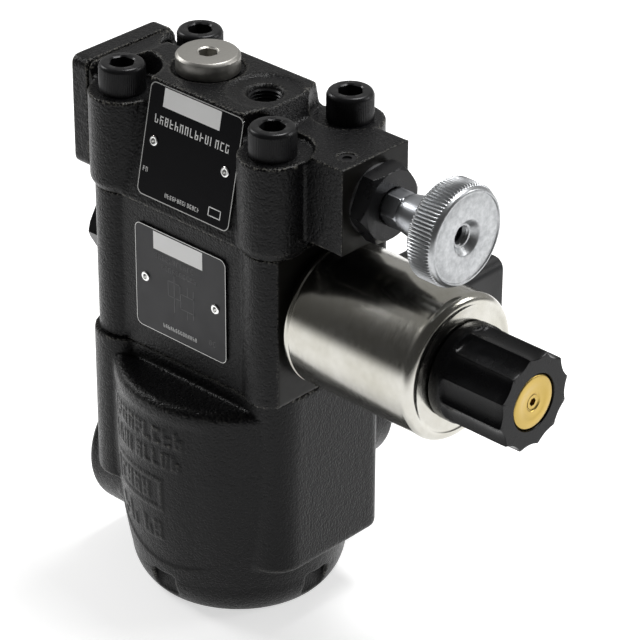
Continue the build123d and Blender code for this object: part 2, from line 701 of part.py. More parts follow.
def gauge_plug():
    """Zinc plated plug with a wide round head and a hexagon socket."""
    top = RIDGE_TOP + 5.4
    head = bar_z(11.0, PLUG_SEAT, top, PLUG_X)
    head = chamfer(head.edges().sort_by(Axis.Z)[-1], 0.8)
    plug = head + bar_z(6.5, RIDGE_TOP - 11, PLUG_SEAT, PLUG_X)
    return plug - hex_z(6.0, top - 5, top + 1, PLUG_X, 0, 20)


def gauge_plug_seal():
    """Soft ring under the plug's head."""
    return ring_z(6.7, 9.6, PLUG_SEAT - 0.4, PLUG_SEAT, PLUG_X)


def expander_plug():
    """Ball plug pressed into a drilled channel."""
    plug = bar_z(3.0, BLOCK_TOP - 3.8, BLOCK_TOP - 0.5, 57, -7)
    return plug - bar_z(1.6, BLOCK_TOP - 1.1, BLOCK_TOP, 57, -7)


def body_screws():
    """Four M10 x 110 socket head screws."""
    def screw(x, y):
        top = SEAT_Z + SCREW_HEAD_H
        head = bar_z(SCREW_HEAD_R, SEAT_Z, top, x, y)
        head = chamfer(head.edges().sort_by(Axis.Z)[-1], 0.9)
        body = head + bar_z(SCREW_R, SEAT_Z - SCREW_LENGTH, SEAT_Z, x, y)
        return body - hex_z(SCREW_SOCKET, top - 5.2, top + 1, x, y, 10)
    return at_bolts(screw)


# -------------------------------------------------------------- name plates

def head_plate_plane():
    """Plane of the head's leaning front, centred on its name plate."""
    profile = head_profile()
    low = profile[0]
    high = profile[3]
    share = (PLATE_H / 2 + 3.6) / (RIDGE_TOP - PILOT_TOP)
    y = low[0] + share * (high[0] - low[0])
    z = PILOT_TOP + share * (RIDGE_TOP - PILOT_TOP)
    lean = math.radians(HEAD_LEAN)
    facing = (0, -math.cos(lean), math.sin(lean))
    return Plane(origin=(HEAD_PLATE_X, y, z), x_dir=(1, 0, 0), z_dir=facing)


def pilot_plate_plane():
    """Plane of the pilot casting's front, centred on its name plate."""
    return Plane(origin=(0, PILOT_FRONT, SOLENOID_Z), x_dir=(1, 0, 0), z_dir=(0, -1, 0))


def name_plate(plane):
    """Thin riveted plate."""
    outline = RectangleRounded(PLATE_W, PLATE_H, 2.5)
    plate = extrude(plane * outline, amount=PLATE_T)
    for side in (-1, 1):
        plate -= plane * (Pos(side * 16.6, 0, -1) * Cylinder(1.0, 5))
    return plate


def plate_rivets():
    """Four round head drive pins, two in each name plate."""
    pins = []
    for plane in (head_plate_plane(), pilot_plate_plane()):
        for side in (-1, 1):
            head = Cylinder(1.5, 0.7, align=CENTRE)
            head = fillet(head.edges().sort_by(Axis.Z)[-1], 0.4)
            shank = Cylinder(0.98, PLATE_T, align=CENTRE)
            pin = Pos(0, 0, PLATE_T) * head + shank
            pins.append(plane * (Pos(side * 16.6, 0, 0) * pin))
    return pins


def name_plate_head():
    """Name plate on the head."""
    return name_plate(head_plate_plane())


def name_plate_pilot():
    """Name plate on the pilot casting."""
    return name_plate(pilot_plate_plane())


NODES = [
    main_body, main_sleeve, sleeve_seals, main_spool, spool_orifice, main_spring, lower_interface_seals,
    pilot_body, upper_interface_seals, prop_seat, prop_cone, push_pin, armature, pole_piece,
    solenoid_tube, tube_cap, bleed_screw, bleed_ball, coil_housing, coil_bobbin, coil_winding,
    coil_base_ring, connector_socket, connector_pins, coil_nut, nut_seal, end_plug, end_plug_seal,
    head_body, cover_plate, cover_screws, cover_seal, relief_seat, relief_cone, relief_spring,
    spring_plate, adjuster_housing, adjuster_seal, adjust_spindle, spindle_seal, adjust_knob,
    gauge_plug, gauge_plug_seal, expander_plug, body_screws, name_plate_head, name_plate_pilot,
    plate_rivets,
]


def main():
    os.makedirs("parts", exist_ok=True)
    for make in NODES:
        made = make()
        pieces = made if isinstance(made, list) else [made]
        solids = [solid for piece in pieces for solid in piece.solids()]
        shape = solids[0] if len(solids) == 1 else Compound(children=solids)
        export_step(shape, f"parts/{make.__name__}.step")


main()
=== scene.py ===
import math
import random

import bmesh
import bpy
from mathutils import Matrix, Vector


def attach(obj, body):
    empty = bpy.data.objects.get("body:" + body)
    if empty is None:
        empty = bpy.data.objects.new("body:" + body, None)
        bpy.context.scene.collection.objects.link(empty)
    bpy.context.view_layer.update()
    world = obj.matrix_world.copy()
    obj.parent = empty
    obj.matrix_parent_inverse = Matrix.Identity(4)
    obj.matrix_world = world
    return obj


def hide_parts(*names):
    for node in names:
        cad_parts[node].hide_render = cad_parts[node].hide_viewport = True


MM = 0.001

# Places taken from the CAD source, in millimetres
MAIN_TOP = 90.6
PILOT_TOP = 146.6
SEAT_Z = 180.9
RIDGE_TOP = 190.1
SOLENOID_Z = 119.7
RELIEF_Z = 167.8
BOLTS = [(sx * 34.85, sy * 18.35) for sx in (-1, 1) for sy in (-1, 1)]
PLATE_W = 42.8
PLATE_H = 39.4
PLATE_T = 0.8
PILOT_FRONT = -26.2
HEAD_FRONT = PILOT_FRONT - 1.2
HEAD_LEAN = 12.0
HEAD_PLATE_X = 1.6
BARREL_R = 43.0
DRAFT_TOP = 62.0
HEAD_END = 63.0
PILOT_END = 43.1
COVER_BACK = -50.1
GAUGE_X = 13.8
PLUG_X = -12.6
SCREW_HEAD = 10.0
TUBE_END = 131.8

# Fineness and details of the visual pieces
X_AXIS = 0
Z_AXIS = 2
SCREW_TEETH = 72
KNOB_TEETH = 84
THREAD_PITCH = 1.25
PRINT_T = 0.03
RIVET_X = 16.6

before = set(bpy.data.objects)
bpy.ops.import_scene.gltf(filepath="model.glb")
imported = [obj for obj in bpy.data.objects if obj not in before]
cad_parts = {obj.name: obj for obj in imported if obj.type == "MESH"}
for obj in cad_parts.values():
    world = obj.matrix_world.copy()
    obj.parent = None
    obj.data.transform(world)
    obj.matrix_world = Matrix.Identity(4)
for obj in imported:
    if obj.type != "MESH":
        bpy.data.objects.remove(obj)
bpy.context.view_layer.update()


# ------------------------------------------------------------------ materials

def new_material(name, colour, roughness, metallic=0.0, specular=0.5):
    """Principled material that the finishes below add to."""
    material = bpy.data.materials.new(name)
    material.use_nodes = True
    tree = material.node_tree
    shader = tree.nodes["Principled BSDF"]
    shader.inputs["Base Color"].default_value = (*colour, 1)
    shader.inputs["Roughness"].default_value = roughness
    shader.inputs["Metallic"].default_value = metallic
    shader.inputs["Specular IOR Level"].default_value = specular
    return material


def add_node(material, kind, **settings):
    """New shader node with its inputs set by name."""
    node = material.node_tree.nodes.new(kind)
    for key, value in settings.items():
        node.inputs[key].default_value = value
    return node


def link(material, source, target):
    """Wire from an output to an input."""
    material.node_tree.links.new(source, target)


def object_space(material, stretch=(1, 1, 1)):
    """Object coordinates in metres, stretched along the axes."""
    source = add_node(material, "ShaderNodeTexCoord")
    mapping = add_node(material, "ShaderNodeMapping", Scale=stretch)
    link(material, source.outputs["Object"], mapping.inputs["Vector"])
    return mapping.outputs["Vector"]


def noise_of(material, place, scale, detail=3.0, rough=0.55):
    """Noise value between 0 and 1."""
    node = add_node(material, "ShaderNodeTexNoise", Scale=scale, Detail=detail, Roughness=rough)
    link(material, place, node.inputs["Vector"])
    return node.outputs["Fac"]


def remap(material, value, low, high, to_low, to_high):
    """Value between low and high, as a value between to_low and to_high."""
    node = add_node(material, "ShaderNodeMapRange")
    for key, number in (("From Min", low), ("From Max", high), ("To Min", to_low), ("To Max", to_high)):
        node.inputs[key].default_value = number
    link(material, value, node.inputs["Value"])
    return node.outputs["Result"]


def tint(material, factor, first, second):
    """Base colour mixed between two colours."""
    node = material.node_tree.nodes.new("ShaderNodeMix")
    node.data_type = "RGBA"
    node.inputs["A"].default_value = (*first, 1)
    node.inputs["B"].default_value = (*second, 1)
    link(material, factor, node.inputs["Factor"])
    shader = material.node_tree.nodes["Principled BSDF"]
    link(material, node.outputs["Result"], shader.inputs["Base Color"])


def roughen(material, factor, low, high):
    """Roughness between low and high by a value from 0 to 1."""
    shader = material.node_tree.nodes["Principled BSDF"]
    link(material, remap(material, factor, 0.3, 0.7, low, high), shader.inputs["Roughness"])


def bump(material, height, depth, before=None):
    """Bump of a depth in metres; returns the normal so that bumps can be stacked."""
    node = add_node(material, "ShaderNodeBump", Distance=depth, Strength=1.0)
    link(material, height, node.inputs["Height"])
    if before:
        link(material, before, node.inputs["Normal"])
    shader = material.node_tree.nodes["Principled BSDF"]
    link(material, node.outputs["Normal"], shader.inputs["Normal"])
    return node.outputs["Normal"]


def casting_material():
    """Black painted sand casting: fine grain, and lighter specks along the sharp edges that are partly
    paint rubbed through and partly a painted highlight.
    """
    material = new_material("casting_black", (0.005, 0.005, 0.0055), 0.4, specular=0.17)
    place = object_space(material)
    grain = noise_of(material, place, 1300, 2, 0.5)
    lumps = noise_of(material, place, 420, 2, 0.5)
    first = bump(material, lumps, 0.0002)
    bump(material, grain, 0.0003, first)
    roughen(material, grain, 0.22, 0.42)
    edge = material.node_tree.nodes.new("ShaderNodeNewGeometry").outputs["Pointiness"]
    sharp = remap(material, edge, 0.508, 0.545, 0, 1)
    specks = remap(material, grain, 0.5, 0.62, 0, 1)
    # Lighter colour on sharp edges, broken into specks: partly paint wear, partly a painted highlight.
    wear_and_highlight = material.node_tree.nodes.new("ShaderNodeMath")
    wear_and_highlight.operation = "MULTIPLY"
    link(material, sharp, wear_and_highlight.inputs[0])
    link(material, specks, wear_and_highlight.inputs[1])
    tint(material, wear_and_highlight.outputs["Value"], (0.005, 0.005, 0.0055), (0.13, 0.125, 0.11))
    return material


def machined_black():
    """Milled face under thin black paint."""
    material = new_material("machined_black", (0.008, 0.0075, 0.0065), 0.36, specular=0.16)
    place = object_space(material, (1, 1, 6))
    lines = noise_of(material, place, 240, 3, 0.5)
    bump(material, lines, 0.00004)
    roughen(material, lines, 0.32, 0.46)
    return material


def black_oxide():
    """Black oxide steel of the screws."""
    material = new_material("black_oxide", (0.014, 0.014, 0.015), 0.3, 0.4, 0.3)
    place = object_space(material)
    cloud = noise_of(material, place, 300, 4)
    roughen(material, cloud, 0.24, 0.38)
    bump(material, noise_of(material, place, 1800, 2), 0.00003)
    return material


def plated(name, colour, dull, rough_low, rough_high, mottle):
    """Zinc plated steel, mottled between a brighter and a duller tone."""
    material = new_material(name, colour, rough_low, 1.0)
    place = object_space(material)
    cloud = noise_of(material, place, mottle, 5, 0.65)
    roughen(material, cloud, rough_low, rough_high)
    tint(material, remap(material, cloud, 0.38, 0.62, 0, 1), colour, dull)
    bump(material, noise_of(material, place, mottle * 4, 3), 0.000012)
    return material


def shell_material():
    """Drawn zinc plated tube, smeared along its turning lines."""
    material = new_material("shell_zinc", (0.62, 0.61, 0.58), 0.2, 1.0)
    place = object_space(material, (6, 1, 1))
    lines = noise_of(material, place, 260, 4, 0.6)
    roughen(material, lines, 0.13, 0.22)
    bump(material, lines, 0.00001)
    cloud = noise_of(material, object_space(material), 60, 5, 0.65)
    tint(material, remap(material, cloud, 0.35, 0.7, 0, 1), (0.58, 0.57, 0.53), (0.46, 0.445, 0.39))
    return material


def brass_material():
    """Turned brass."""
    material = new_material("brass_turned", (0.5, 0.355, 0.1), 0.3, 1.0)
    shader = material.node_tree.nodes["Principled BSDF"]
    shader.inputs["Anisotropic"].default_value = 0.7
    tangent = add_node(material, "ShaderNodeTangent")
    tangent.direction_type = "RADIAL"
    tangent.axis = "X"
    link(material, tangent.outputs["Tangent"], shader.inputs["Tangent"])
    place = object_space(material)
    bump(material, noise_of(material, place, 700, 3), 0.00002)
    return material


def plastic(name, colour, roughness, grain, specular):
    """Moulded plastic with a faint grain."""
    material = new_material(name, colour, roughness, specular=specular)
    place = object_space(material)
    bump(material, noise_of(material, place, 1500, 2), grain)
    roughen(material, noise_of(material, place, 120, 3), roughness - 0.05, roughness + 0.07)
    return material


def plain(name, colour, roughness, metallic=0.0, specular=0.5):
    """Finish of small or hidden pieces, slightly uneven in roughness."""
    material = new_material(name, colour, roughness, metallic, specular)
    place = object_space(material)
    roughen(material, noise_of(material, place, 200, 3), roughness - 0.04, roughness + 0.05)
    return material


CASTING = casting_material()
MACHINED = machined_black()
OXIDE = black_oxide()
SHELL = shell_material()
ZINC = plated("zinc_plug", (0.46, 0.45, 0.42), (0.38, 0.37, 0.345), 0.34, 0.48, 260)
KNOB = plated("zinc_knob", (0.5, 0.51, 0.52), (0.39, 0.4, 0.41), 0.3, 0.44, 480)
SPINDLE = plated("zinc_spindle", (0.46, 0.475, 0.5), (0.38, 0.39, 0.41), 0.27, 0.36, 300)
BRASS = brass_material()
NUT_BLACK = plastic("nut_plastic", (0.004, 0.004, 0.0045), 0.25, 0.00003, 0.14)
SOCKET_BLACK = plastic("socket_plastic", (0.01, 0.01, 0.011), 0.42, 0.00004, 0.3)
RUBBER = plain("rubber", (0.02, 0.02, 0.02), 0.7)
STEEL = plain("ground_steel", (0.55, 0.55, 0.56), 0.25, 1.0)
IRON = plain("soft_iron", (0.42, 0.42, 0.43), 0.35, 1.0)
SPRING = plain("spring_steel", (0.3, 0.3, 0.31), 0.3, 1.0)
COPPER = plain("copper", (0.62, 0.3, 0.16), 0.35, 1.0)
PIN = plain("pin_tin", (0.7, 0.7, 0.68), 0.25, 1.0)
GLOSS = plain("plate_gloss", (0.002, 0.002, 0.003), 0.16, specular=0.1)
GREY = plain("plate_grey", (0.017, 0.017, 0.019), 0.42, specular=0.3)
PRINT = plain("print_white", (0.8, 0.8, 0.79), 0.5)
PRINT_FAINT = plain("print_faint", (0.08, 0.08, 0.083), 0.5)
BORDER = plain("plate_border", (0.5, 0.5, 0.49), 0.25, 1.0)
RIVET = plain("rivet_bright", (0.85, 0.85, 0.84), 0.22, 1.0)

NODE_MATERIALS = {
    "main_body": CASTING, "pilot_body": CASTING, "head_body": CASTING, "cover_plate": CASTING,
    "end_plug": OXIDE, "cover_screws": OXIDE, "adjuster_housing": OXIDE, "expander_plug": OXIDE,
    "body_screws": OXIDE, "coil_housing": SHELL, "adjust_spindle": SPINDLE, "adjust_knob": KNOB,
    "gauge_plug": ZINC, "adjuster_seal": IRON, "tube_cap": BRASS, "bleed_screw": BRASS,
    "coil_nut": NUT_BLACK, "connector_socket": SOCKET_BLACK, "coil_bobbin": SOCKET_BLACK,
    "connector_pins": PIN, "coil_winding": COPPER, "main_spring": SPRING, "relief_spring": SPRING,
    "armature": IRON, "pole_piece": IRON, "solenoid_tube": IRON,
    "name_plate_head": GLOSS, "name_plate_pilot": GREY, "plate_rivets": RIVET,
    "sleeve_seals": RUBBER, "lower_interface_seals": RUBBER, "upper_interface_seals": RUBBER,
    "coil_base_ring": RUBBER, "nut_seal": RUBBER, "end_plug_seal": RUBBER, "cover_seal": RUBBER,
    "spindle_seal": RUBBER, "gauge_plug_seal": RUBBER,
}


def paint_nodes():
    """Each CAD node gets its material; the inner steel pieces share one."""
    for name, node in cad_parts.items():
        node.data.materials.clear()
        node.data.materials.append(NODE_MATERIALS.get(name, STEEL))


# ------------------------------------------------------------------- geometry

def finish_piece(mesh_owner, body, materials, node=None):
    """Materials, slot and body of a visible piece, and the CAD node that it stands for."""
    for material in materials:
        mesh_owner.data.materials.append(material)
    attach(mesh_owner, body)
    if node:
        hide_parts(node)


def mesh_object(name, vertices, faces):
    """Object from points in millimetres."""
    mesh = bpy.data.meshes.new(name)
    mesh.from_pydata([[c * MM for c in v] for v in vertices], [], faces)
    mesh.update()
    made = bpy.data.objects.new(name, mesh)
    bpy.context.scene.collection.objects.link(made)
    return made


def circle(radius):
    """The same radius at every angle."""
    return lambda angle: radius


def hexagon(flats, turn=0.0):
    """Radius of a hexagon as a function of the angle."""
    def radius(angle):
        local = (angle - turn) % (math.pi / 3) - math.pi / 6
        return flats / 2 / math.cos(local)
    return radius


def knurled(radius, depth, teeth):
    """Fine straight knurl."""
    return lambda angle: radius - depth * (0.5 + 0.5 * math.cos(teeth * angle))


def least(first, second):
    """The smaller of two outlines."""
    return lambda angle: min(first(angle), second(angle))


def turned(name, rows, origin, axis, segments, sharp=35):
    """Turned piece: rows of (place along the axis, outline function), joined into one skin."""
    vertices = []
    faces = []
    for along, outline in rows:
        for step in range(segments):
            angle = 2 * math.pi * step / segments
            radius = outline(angle)
            a = radius * math.cos(angle)
            b = radius * math.sin(angle)
            point = (a, b, along) if axis == "Z" else (along, a, b)
            vertices.append([p + o for p, o in zip(point, origin)])
    for row in range(len(rows) - 1):
        for step in range(segments):
            after = (step + 1) % segments
            low = row * segments
            high = low + segments
            faces.append((low + step, low + after, high + after, high + step))
    made = mesh_object(name, vertices, faces)
    smooth_by_angle(made, sharp)
    return made


def smooth_by_angle(made, degrees):
    """Smooth shading with sharp edges above an angle."""
    mesh = made.data
    work = bmesh.new()
    work.from_mesh(mesh)
    bmesh.ops.remove_doubles(work, verts=work.verts, dist=0.000002)
    bmesh.ops.recalc_face_normals(work, faces=work.faces)
    limit = math.radians(degrees)
    for face in work.faces:
        face.smooth = True
    for edge in work.edges:
        if len(edge.link_faces) == 2:
            edge.smooth = edge.calc_face_angle(0) < limit
    work.to_mesh(mesh)
    work.free()


def joined(name, made):
    """Several objects as one."""
    bpy.ops.object.select_all(action="DESELECT")
    for part in made:
        part.select_set(True)
    bpy.context.view_layer.objects.active = made[0]
    bpy.ops.object.join()
    made[0].name = name
    made[0].data.name = name
    return made[0]


def fine_copy(name, node, voxel):
    """Evenly meshed copy of a CAD node."""
    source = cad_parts[node]
    made = bpy.data.objects.new(name, source.data.copy())
    made.data.materials.clear()
    bpy.context.scene.collection.objects.link(made)
    remesh = made.modifiers.new("voxels", "REMESH")
    remesh.mode = "VOXEL"
    remesh.voxel_size = voxel * MM
    evaluated = made.evaluated_get(bpy.context.evaluated_depsgraph_get())
    mesh = bpy.data.meshes.new_from_object(evaluated)
    made.modifiers.clear()
    made.data = mesh
    return made


def soften(made, amount, held):
    """Smooths a mesh except near the machined planes, given as (axis, place)."""
    crisp = 0.5
    fade = 0.8
    group = made.vertex_groups.new(name="soft")
    for vertex in made.data.vertices:
        weight = 1.0
        for axis, place in held:
            distance = abs(vertex.co[axis] / MM - place)
            weight = min(weight, max(0.0, min(1.0, (distance - crisp) / fade)))
        if weight > 0:
            group.add([vertex.index], weight, "REPLACE")
    modifier = made.modifiers.new("soft", "SMOOTH")
    modifier.factor = 0.5
    modifier.iterations = amount
    modifier.vertex_group = "soft"
    evaluated = made.evaluated_get(bpy.context.evaluated_depsgraph_get())
    mesh = bpy.data.meshes.new_from_object(evaluated)
    made.modifiers.clear()
    made.data = mesh
    for polygon in mesh.polygons:
        polygon.use_smooth = True


def mark_machined(made, place):
    """Second material on the flat machined face towards +X."""
    least_normal = 0.97
    slack = 0.25
    for polygon in made.data.polygons:
        flat = polygon.normal.x > least_normal
        if flat and polygon.center.x / MM > place - slack:
            polygon.material_index = 1


VOXEL = 0.6


def casting_piece(node, amount, held):
    """Cast body with soft edges and crisp machined faces."""
    made = fine_copy(node + "_cast", node, VOXEL)
    soften(made, amount, held)
    return made


def head_casting():
    """Head casting with its milled end face."""
    made = casting_piece("head_body", 6, [(Z_AXIS, PILOT_TOP), (X_AXIS, HEAD_END)])
    finish_piece(made, "valve", [CASTING, MACHINED], "head_body")
    mark_machined(made, HEAD_END)


def pilot_casting():
    """Pilot casting with the milled face that the solenoid stands on."""
    made = casting_piece("pilot_body", 5, [(Z_AXIS, PILOT_TOP), (Z_AXIS, MAIN_TOP), (X_AXIS, PILOT_END)])
    finish_piece(made, "valve", [CASTING, MACHINED], "pilot_body")
    mark_machined(made, PILOT_END)


def step_up(value, start, width):
    """Smooth rise from 0 to 1 over a width."""
    share = max(0.0, min(1.0, (value - start) / width))
    return share * share * (3 - 2 * share)


def in_box(across, up, box, edge):
    """1 inside a rectangle, falling to 0 over the edge width."""
    x0, y0, x1, y1 = box
    return (step_up(across, x0 - edge, edge) * step_up(-across, -x1 - edge, edge)
            * step_up(up, y0 - edge, edge) * step_up(-up, -y1 - edge, edge))


def cast_field(made):
    """Shallow field on the barrel with generic raised strokes, as foundry marks."""
    strokes = word_bars(-27, 68.5, 6.0, 9, 21) + word_bars(-25, 59.5, 5.5, 9, 22)
    strokes += word_bars(-20, 44.5, 6.5, 4, 23) + word_bars(-22, 28.5, 8.0, 2, 24)
    strokes += word_bars(-6, 28.5, 7.0, 2, 25)
    strokes += rect_lines(-23.5, 41.5, 4.5, 54.0, 1.0)
    depth = 0.5
    stroke_rise = 0.38
    lowest, highest = 12, 82
    front = -10
    near_wall = 1.2
    for vertex in made.data.vertices:
        x, y, up = (c / MM for c in vertex.co)
        radius = math.hypot(x, y)
        draft = max(0.0, DRAFT_TOP - up)
        wall = BARREL_R - 0.024 * draft - 0.0012 * draft ** 2
        if up < lowest or up > highest or y > front or abs(radius - wall) > near_wall:
            continue
        across = BARREL_R * (math.atan2(y, x) + math.pi / 2)
        floor_line = 17.0 + 0.010 * (across - 4) ** 2
        field = step_up(across, -34.0, 2.0) * step_up(-across, -26.0, 10.0)
        field *= step_up(up, floor_line, 1.6) * step_up(-up, -80.0, 3.0)
        raised = max(in_box(across, up, bar, 0.9) for bar in strokes)
        shrink = (radius - field * (depth - stroke_rise * raised)) / radius
        vertex.co[0] *= shrink
        vertex.co[1] *= shrink


def main_casting():
    """Main casting with its foundry field."""
    made = casting_piece("main_body", 8, [(Z_AXIS, MAIN_TOP)])
    cast_field(made)
    finish_piece(made, "valve", [CASTING], "main_body")


def cover_casting():
    """Cast plate on the left end of the head."""
    made = casting_piece("cover_plate", 3, [(X_AXIS, COVER_BACK)])
    finish_piece(made, "valve", [CASTING], "cover_plate")


def clamp_screws():
    """Four socket head screws with knurled heads."""
    parts = []
    top = SEAT_Z + SCREW_HEAD
    for number, (x, y) in enumerate(BOLTS):
        turn = math.radians((8, 25, 47, 14)[number])
        rows = [
            (71.0, circle(0.0)), (71.0, circle(4.5)), (71.6, circle(5.0)), (SEAT_Z, circle(5.0)),
            (SEAT_Z, circle(7.8)), (SEAT_Z + 0.3, circle(8.0)),
            (SEAT_Z + 0.7, knurled(8.0, 0.16, SCREW_TEETH)), (top - 1.5, knurled(8.0, 0.16, SCREW_TEETH)),
            (top - 1.2, circle(7.85)), (top - 0.45, circle(7.45)), (top - 0.1, circle(7.0)),
            (top, circle(6.5)),
            (top, circle(4.75)), (top - 0.45, least(circle(4.3), hexagon(8.0, turn))),
            (top - 0.5, hexagon(8.0, turn)), (top - 5.0, hexagon(8.0, turn)), (top - 5.2, circle(3.4)),
            (top - 6.2, circle(0.0)),
        ]
        parts.append(turned(f"screw_{number}", rows, (x, y, 0), "Z", 288))
    made = joined("clamp_screws", parts)
    finish_piece(made, "valve", [OXIDE], "body_screws")


def knob_piece():
    """Knob with a straight knurl, a raised rim and a tapped hole."""
    x0, x1 = 91.2, 102.4
    teeth = knurled(17.6, 0.8, KNOB_TEETH)
    root = knurled(17.2, 0.4, KNOB_TEETH)
    rows = [
        (x0, circle(5.2)), (x0, circle(15.6)), (x0 + 0.15, circle(16.4)), (x0 + 0.5, circle(16.8)),
        (x0 + 0.9, root), (x0 + 1.3, teeth), (x1 - 2.6, teeth),
        (x1 - 2.0, root), (x1 - 1.7, circle(16.85)), (x1 - 1.2, circle(16.75)),
        (x1 - 0.6, circle(16.55)), (x1 - 0.2, circle(16.2)), (x1, circle(15.7)), (x1 - 0.02, circle(15.5)),
        (x1 - 0.35, circle(15.2)), (x1 - 0.4, circle(14.9)), (x1 - 0.3, circle(14.6)),
        (x1 - 0.3, circle(6.5)), (x1 - 0.4, circle(6.2)), (x1 - 0.9, circle(5.6)), (x1 - 1.8, circle(4.7)),
        (x1 - 2.4, circle(4.1)),
    ]
    place = x1 - 2.5
    while place > x0 + 6.3:
        rows += [(place, circle(3.45)), (place - 0.5, circle(4.05)), (place - 0.62, circle(4.05))]
        place -= THREAD_PITCH
    rows += [(x0 + 6.0, circle(3.4)), (x0 + 6.0, circle(5.0)), (x0, circle(5.2))]
    made = turned("knob", rows, (0, 0, RELIEF_Z), "X", 10 * KNOB_TEETH)
    finish_piece(made, "adjuster", [KNOB], "adjust_knob")


def spindle_piece():
    """Spindle: hexagon next to the bush, then round."""
    x0 = 70.8
    inner_end = 34.0
    knob_back = 91.15
    knob_seat = 97.1
    hole_end = 85.2
    six = hexagon(11.4)
    rows = [
        (inner_end, circle(3.4)), (inner_end, circle(5.96)), (x0, circle(5.5)),
        (x0 + 0.05, least(six, circle(6.0))),
        (x0 + 0.5, six), (x0 + 5.6, six), (x0 + 5.9, least(six, circle(6.35))), (x0 + 6.3, circle(5.9)),
        (x0 + 7.0, circle(6.5)), (x0 + 12.3, circle(7.55)), (knob_back - 0.45, circle(7.55)),
        (knob_back, circle(7.1)), (knob_back, circle(5.0)), (knob_seat, circle(5.0)),
        (knob_seat, circle(3.4)), (hole_end, circle(3.4)), (hole_end, circle(0.0)),
    ]
    made = turned("spindle", rows, (0, 0, RELIEF_Z), "X", 180, 20)
    finish_piece(made, "adjuster", [SPINDLE], "adjust_spindle")


def bush_piece():
    """Black hexagon bush with a round chamfer."""
    six = hexagon(24.0, math.radians(4))
    inner_end = 40.0
    back = 64.0
    front = 70.5
    chamfer = 69.0
    rows = [
        (inner_end, circle(6.1)), (inner_end, circle(10.0)), (back, circle(10.0)),
        (back, least(six, circle(12.9))), (back + 0.5, six), (chamfer, six),
    ]
    for step in range(1, 7):
        rows.append((chamfer + 0.25 * step, least(six, circle(14.0 - 0.35 * step))))
    rows += [(front, circle(11.5)), (front, circle(6.6)), (front - 0.4, circle(6.1)), (60.0, circle(6.05))]
    made = turned("bush", rows, (0, 0, RELIEF_Z), "X", 360, 14)
    finish_piece(made, "valve", [OXIDE], "adjuster_housing")


def plug_piece():
    """Round zinc plated plug with a bright chamfer and a hexagon socket."""
    low, top = RIDGE_TOP - 1.2, RIDGE_TOP + 5.4
    six = hexagon(6.0, math.radians(20))
    rows = [
        (low - 9.8, circle(0.0)), (low - 9.8, circle(6.4)), (low, circle(6.4)), (low, circle(10.5)),
        (low + 0.4, circle(10.9)), (low + 0.9, circle(10.98)), (top - 1.05, circle(10.98)),
        (top - 0.95, circle(10.93)), (top - 0.12, circle(10.15)), (top - 0.02, circle(10.0)),
        (top, circle(9.8)), (top, circle(4.0)), (top - 0.4, circle(3.5)), (top - 0.42, six),
        (top - 4.6, six), (top - 5.0, circle(0.0)),
    ]
    made = turned("zinc_plug", rows, (PLUG_X, 0, 0), "Z", 360)
    finish_piece(made, "valve", [ZINC], "gauge_plug")


def gauge_thread():
    """Thread crests inside the open gauge port."""
    rows = []
    place = RIDGE_TOP - 2.2
    while place > RIDGE_TOP - 11:
        rows += [(place, circle(5.66)), (place - 0.5, circle(5.1)), (place - 0.75, circle(5.1))]
        place -= THREAD_PITCH
    made = turned("gauge_thread", rows, (GAUGE_X, 0, 0), "Z", 120)
    finish_piece(made, "valve", [OXIDE])


def shell_piece():
    """Coil shell with a small step at its root and a rolled rim in front."""
    x0, x1 = 45.9, 101.5
    rows = [
        (x0, circle(11.2)), (x0, circle(24.6)), (x0 + 0.25, circle(25.1)), (x0 + 0.7, circle(25.3)),
        (x0 + 1.5, circle(25.3)), (x0 + 1.9, circle(24.9)), (x0 + 2.15, circle(24.9)),
        (x0 + 2.5, circle(25.3)), (x0 + 3.1, circle(25.42)), (x1 - 5.0, circle(25.42)),
        (x1 - 3.6, circle(25.5)), (x1 - 2.6, circle(25.6)), (x1 - 1.9, circle(25.45)),
        (x1 - 1.1, circle(24.95)), (x1 - 0.5, circle(24.2)), (x1 - 0.15, circle(23.4)),
        (x1 - 0.05, circle(22.8)), (x1 - 0.25, circle(22.2)), (x1 - 0.5, circle(21.8)),
        (x1 - 0.5, circle(21.0)),
        (x1 - 0.25, circle(20.4)), (x1 - 0.2, circle(12.0)), (x1 - 3.0, circle(11.2)),
    ]
    made = turned("coil_shell", rows, (0, 0, SOLENOID_Z), "X", 256)
    finish_piece(made, "coil", [SHELL], "coil_housing")


def nut_piece():
    """Fluted plastic nut; the flutes run out before its collar."""
    x0, x1 = 101.8, 132.0
    count = 12
    cutter = 11.2
    turn = math.radians(25)

    def fluted(radius, depth):
        """Circle with hollows of an arc shape; the cutter reaches depth below the radius."""
        reach = radius - depth + cutter
        def outline(angle):
            local = (angle - turn + math.pi / count) % (2 * math.pi / count) - math.pi / count
            inside = cutter ** 2 - (reach * math.sin(local)) ** 2
            if inside <= 0:
                return radius
            return min(radius, reach * math.cos(local) - math.sqrt(inside))
        return outline

    rows = [
        (x0, circle(11.1)), (x0, circle(16.2)), (x0 + 0.3, circle(16.8)), (x0 + 0.8, circle(17.05)),
        (x0 + 4.6, circle(17.05)), (x0 + 5.0, circle(17.0)), (x0 + 5.15, fluted(17.0, 0.3)),
        (x0 + 5.35, fluted(17.0, 0.75)), (x0 + 5.8, fluted(17.0, 1.15)), (x0 + 6.6, fluted(17.0, 1.35)),
        (x0 + 8.0, fluted(17.0, 1.45)), (x1 - 3.0, fluted(17.0, 1.5)), (x1 - 0.5, fluted(16.95, 1.5)),
        (x1 - 0.15, fluted(16.75, 1.4)), (x1, fluted(16.4, 1.15)),
        (x1, circle(14.6)), (x1, circle(10.1)), (x1 - 0.3, circle(9.9)), (x1 - 3, circle(9.85)),
        (118.5, circle(9.85)),
    ]
    made = turned("fluted_nut", rows, (0, 0, SOLENOID_Z), "X", 576)
    finish_piece(made, "coil_nut", [NUT_BLACK], "coil_nut")


